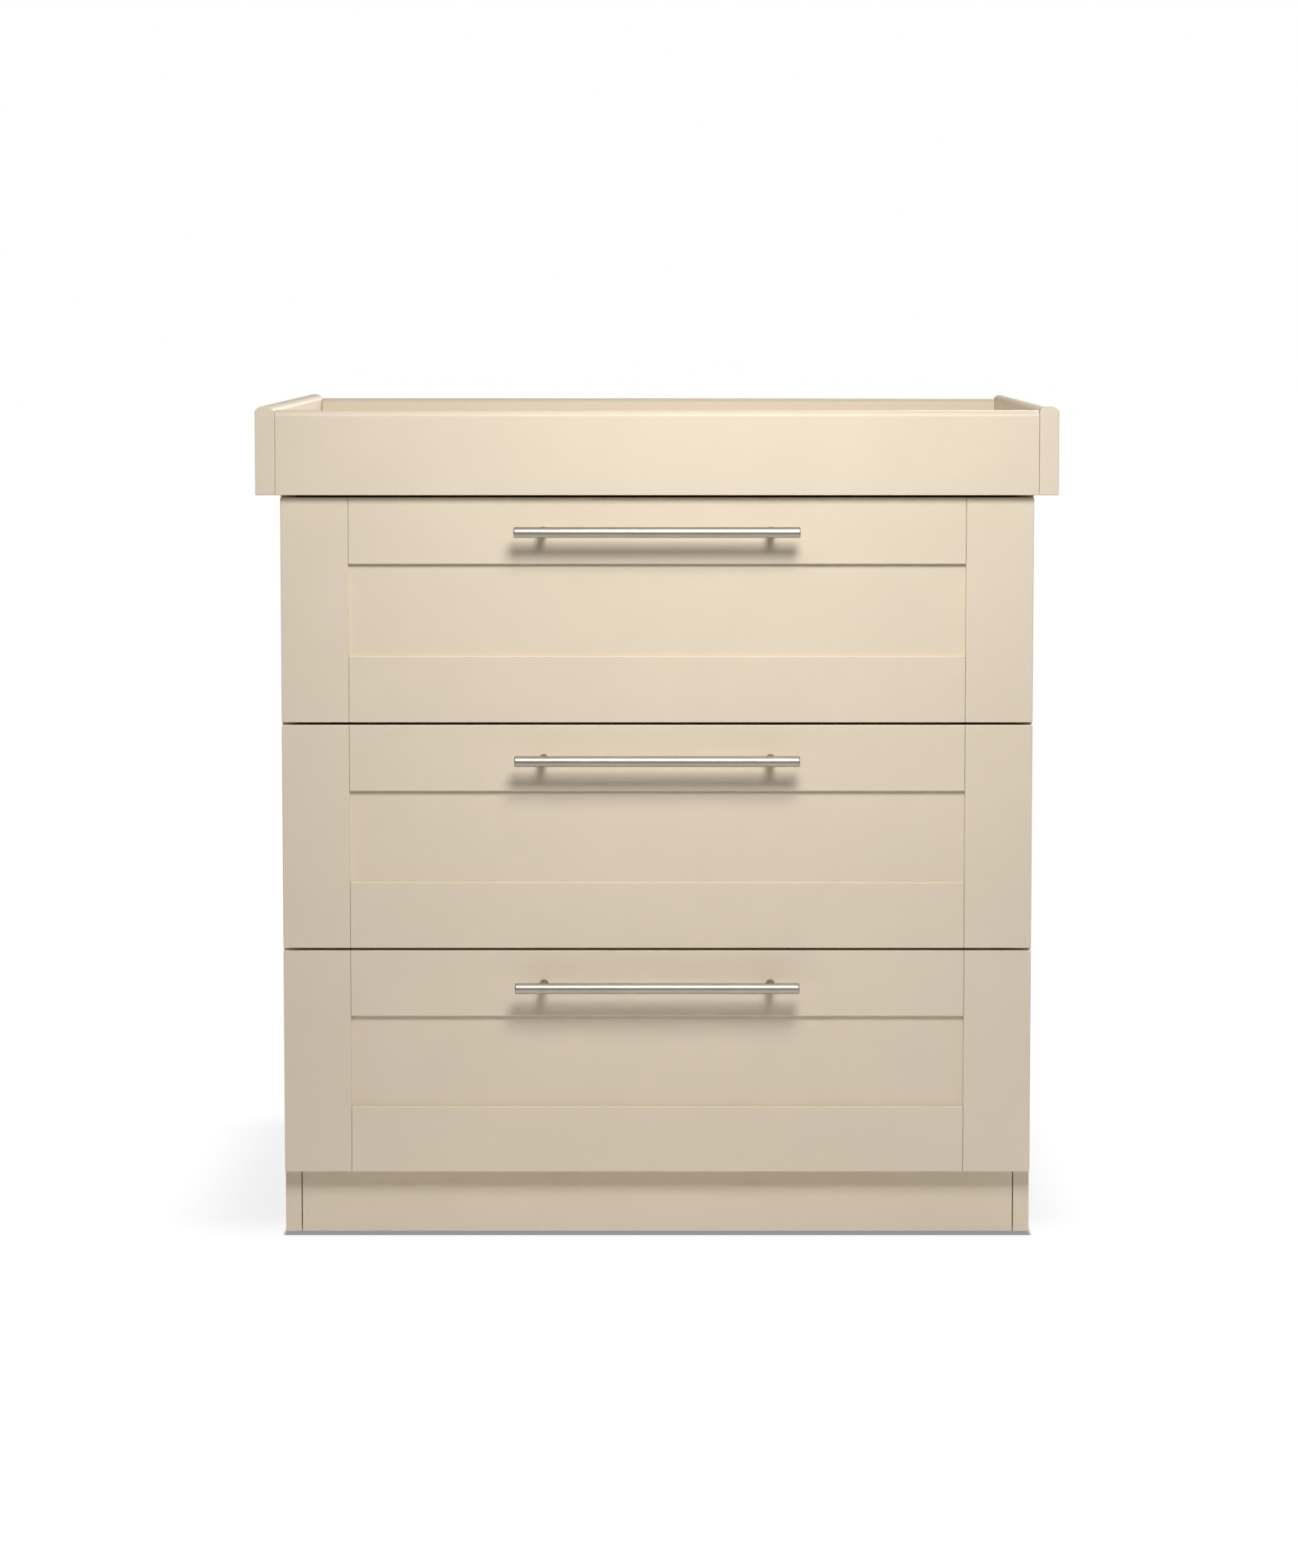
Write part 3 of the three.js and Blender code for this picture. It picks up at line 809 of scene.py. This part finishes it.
# Soft dots on the back of each front, where it closes on the side panels.
def bumpers(level):
    b = bumperShape
    low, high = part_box(f"{level}_drawer_right_stile")
    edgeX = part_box("right_side_panel")[1].x - b["fromEnd"]
    dots = []
    for sign in sides.values():
        for z in (low.z + b["fromEdge"], high.z - b["fromEdge"]):
            ring = turned([(0, tip), (0, b["radius"]), (b["height"], b["radius"]), (b["height"], tip)],
                          [0, b["foot"], b["ease"], 0], (sign * edgeX, high.y, z), 1, b["count"])
            dots.append(closedSkin("dot", ring[0]))
    name = camel(f"{level}_drawer_bumpers")
    addPiece(name, mergedMesh(name, dots), f"{level}_drawer", nylonFinish)


for level in levels:
    bumpers(level)

nailShape = {
    "radius": 2.1 * mm, "height": 0.5 * mm,
    "rim": 0.12,                # share of the height that the rim stands up
    "rows": (0.03, 0.35, 0.65, 0.85, 0.96, 1.0, 1.0), "count": 16,
    "pitch": 92 * mm, "fromEdge": 9 * mm,
}


# Flat nail heads round the edge of the back panel: height * (1 - share^3) + rim * height, share being the
# radius over the head's radius.
def backNails():
    n = nailShape
    low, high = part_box("back_panel")
    left, right = low.x + n["fromEdge"], high.x - n["fromEdge"]
    foot, top = low.z + n["fromEdge"], high.z - n["fromEdge"]
    acrossCount, upCount = round((right - left) / n["pitch"]), round((top - foot) / n["pitch"])
    across = [(x, z) for x in np.linspace(left, right, acrossCount + 1) for z in (foot, top)]
    up = [(x, z) for z in np.linspace(foot, top, upCount + 1)[1:-1] for x in (left, right)]
    share = np.array(n["rows"])[:, None]
    rise = n["height"] * (1 - share ** 3) + n["rim"] * n["height"]
    rise[-1] = 0
    t = np.linspace(0, 2 * np.pi, n["count"], endpoint=False)[None]
    head = np.stack([share * n["radius"] * np.cos(t), rise + 0 * t, share * n["radius"] * np.sin(t)], -1)
    heads = [closedSkin("nail", head + np.array([x, high.y, z])) for x, z in across + up]
    addPiece("backNails", mergedMesh("backNails", heads), "case", zincFinish)


backNails()

glideShape = {
    "ease": 0.9 * mm,
    "edge": 0.2 * mm,           # of the upper side and the pin
    "clear": 0.3 * mm,          # between the disc and the side panel
    "pinRadius": 2.2 * mm,
    "count": 40,
}


# A glide: a low disc under the side panel with a pin that goes up into it.
def glideFoot(node):
    g = glideShape
    low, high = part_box(node)
    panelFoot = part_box("left_side_panel")[0].z
    radius, seat = (high.x - low.x) / 2, panelFoot - g["clear"]
    profile = [(0, tip), (0, radius), (seat, radius), (seat, g["pinRadius"]), (high.z, g["pinRadius"]),
               (high.z, tip)]
    ring = turned(profile, [0, g["ease"], g["edge"], g["edge"], g["edge"], 0],
                  ((low.x + high.x) / 2, (low.y + high.y) / 2, 0), 2, g["count"])
    addPiece(camel(node, "Foot"), closedSkin(camel(node), *ring), "case", nylonFinish, node)


for side in sides:
    for end in ("front", "rear"):
        glideFoot(f"{end}_{side}_glide")

fineEdges = {"backPanel": 0.3 * mm, "wallBracket": 0.4 * mm}
dress(["back_panel"], backBoard, fineEdges["backPanel"])
dress([f"{level}_drawer_base" for level in levels], baseBoard)
dress(["tray_base"], cream)
dress(["wall_bracket"], zincFinish, fineEdges["wallBracket"])
print("fittings made")


studio = {
    "floor": 30.0,                  # half of its side, in metres
    "floorColour": (0.01, 0.01, 0.01),
    "floorRoughness": 0.9, "floorSpecular": 0.1,
    "floorGlow": 1.0,
    # The shades below are painted shadow on the floor: they lower its glow under, beside and behind the case.
    "edgeShade": (0.0, 0.005),      # distance past the footprint over which the dark under the case ends
    "edgeGlow": 0.31,               # its glow, as a share of the floor's
    "softShade": (0.0, 0.15),       # and over which the soft shade beside and behind it ends
    "softGlow": 0.86,
    "softStart": (-0.03, 0.10),     # the soft shade's shift to the side, and its start behind the front
    "bounceColour": (0.80, 0.80, 0.80), "bounceGlow": 0.10, "bounceDrop": 1 * mm,
    "skyGlow": (0.0, 0.30),         # the sky's glow rises from one to the other
    "skyToward": (0.0, -0.50, 0.866), "skySpan": (0.25, 0.95),
    "lights": {                     # place, aim, size, power, beam in degrees
        "keySoftbox": ((0.24, -1.65, 1.97), (0.02, -0.25, 0.76), 0.70, 8.9, 90),
        "backSoftbox": ((1.2, 2.6, 1.9), (0.0, 0.28, 0.5), 1.6, 32.0, 120),
        "leftSoftbox": ((-2.4, 0.5, 1.5), (-0.4, 0.1, 0.45), 1.2, 6.0, 110),
        "rightSoftbox": ((2.4, 0.5, 1.5), (0.4, 0.1, 0.45), 1.2, 2.5, 110),
    },
}


def floorPlane(name, height, material):
    half = studio["floor"]
    corners = [(-half, -half, height), (half, -half, height), (half, half, height), (-half, half, height)]
    mesh = bpy.data.meshes.new(name)
    mesh.from_pydata(corners, [], [(0, 1, 2, 3)])
    mesh.materials.append(material)
    floor = bpy.data.objects.new(name, mesh)
    bpy.context.scene.collection.objects.link(floor)
    return floor


# The pale floor glows evenly. Painted shadow lowers the glow under the case and a little beside and behind
# it:
# each drop is a smooth step of the distance to a rectangle, sqrt(dx^2 + dy^2) with dx and dy counted from its
# edges.
def paleFloor(s):
    r = Recipe("paleFloor")
    low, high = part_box("left_side_panel")[0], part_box("right_side_panel")[1]

    def vectorStep(operation, first, second=None):
        made = r.node("ShaderNodeVectorMath", operation=operation)
        r.feed(first, made.inputs[0])
        if second is not None:
            made.inputs[1].default_value = second
        return made.outputs["Value" if operation == "LENGTH" else "Vector"]

    # One painted shadow: the glow falls to the given shade inside the rectangle and rises back over the fade.
    def paintedShadow(aside, behind, fade, shade):
        front = low.y + behind
        middle = ((low.x + high.x) / 2 + aside, (front + high.y) / 2, 0)
        reach = ((high.x - low.x) / 2, (high.y - front) / 2, 0)
        offset = vectorStep("ABSOLUTE", vectorStep("SUBTRACT", r.place, middle))
        beyond = vectorStep("MAXIMUM", vectorStep("SUBTRACT", offset, reach), (0, 0, 0))
        share = r.node("ShaderNodeMapRange", Value=vectorStep("LENGTH", beyond))
        share.interpolation_type = "SMOOTHSTEP"
        setRange(share, fade, (shade, 1.0))
        return share.outputs["Result"]

    # The painted shadows under the case and beside it multiply the floor's glow.
    both = r.node("ShaderNodeMath", operation="MULTIPLY")
    r.feed(paintedShadow(0, 0, s["edgeShade"], s["edgeGlow"]), both.inputs[0])
    r.feed(paintedShadow(*s["softStart"], s["softShade"], s["softGlow"]), both.inputs[1])
    glow = r.node("ShaderNodeMath", operation="MULTIPLY")
    r.feed(both.outputs[0], glow.inputs[0])
    r.feed(s["floorGlow"], glow.inputs[1])
    r.feed(glow.outputs[0], r.shader.inputs["Emission Strength"])
    return r.finish(roughness=s["floorRoughness"], Base_Color=(*s["floorColour"], 1),
                    Emission_Color=(1, 1, 1, 1), Specular_IOR_Level=s["floorSpecular"])


# Two sheets share the floor's work: the pale one is what shows, and the bounce sheet just below it gives the
# object the light that a floor throws back.
def makeFloor(s):
    shown = floorPlane("studioFloor", 0.0, paleFloor(s))
    shown.visible_diffuse = shown.visible_glossy = shown.visible_shadow = False
    r = Recipe("bounceSheet")
    glow = r.finish(roughness=s["floorRoughness"], Base_Color=(*s["bounceColour"], 1),
                    Emission_Color=(1, 1, 1, 1), Emission_Strength=s["bounceGlow"],
                    Specular_IOR_Level=s["floorSpecular"])
    bounce = floorPlane("studioBounce", -s["bounceDrop"], glow)
    bounce.visible_camera = False


def makeLight(name, place, aim, size, power, beam):
    data = bpy.data.lights.new(name, "AREA")
    data.shape = "SQUARE"
    data.size = size
    data.energy = power
    data.spread = math.radians(beam)
    light = bpy.data.objects.new(name, data)
    light.location = place
    light.rotation_mode = "QUATERNION"
    light.rotation_quaternion = (Vector(aim) - Vector(place)).to_track_quat("-Z", "Y")
    bpy.context.scene.collection.objects.link(light)


# White behind the object; the light it gives is dim near the horizon and brighter above the front.
def makeSky(s):
    world = bpy.data.worlds.new("studio")
    bpy.context.scene.world = world
    world.use_nodes = True
    tree = world.node_tree
    tree.nodes.clear()
    coordinates = tree.nodes.new("ShaderNodeTexCoord")
    facing = tree.nodes.new("ShaderNodeVectorMath")
    facing.operation = "DOT_PRODUCT"
    tree.links.new(coordinates.outputs["Generated"], facing.inputs[0])
    facing.inputs[1].default_value = s["skyToward"]
    height = tree.nodes.new("ShaderNodeMapRange")
    height.interpolation_type = "SMOOTHSTEP"
    setRange(height, s["skySpan"], s["skyGlow"])
    tree.links.new(facing.outputs["Value"], height.inputs["Value"])
    glow = tree.nodes.new("ShaderNodeBackground")
    tree.links.new(height.outputs["Result"], glow.inputs["Strength"])
    white = tree.nodes.new("ShaderNodeBackground")
    white.inputs["Color"].default_value = (1, 1, 1, 1)
    glow.inputs["Color"].default_value = (1, 1, 1, 1)
    seen = tree.nodes.new("ShaderNodeLightPath").outputs["Is Camera Ray"]
    mixed = tree.nodes.new("ShaderNodeMixShader")
    tree.links.new(seen, mixed.inputs[0])
    tree.links.new(glow.outputs[0], mixed.inputs[1])
    tree.links.new(white.outputs[0], mixed.inputs[2])
    tree.links.new(mixed.outputs[0], tree.nodes.new("ShaderNodeOutputWorld").inputs["Surface"])


makeFloor(studio)
for lightName, settings in studio["lights"].items():
    makeLight(lightName, *settings)
makeSky(studio)
print("studio made")
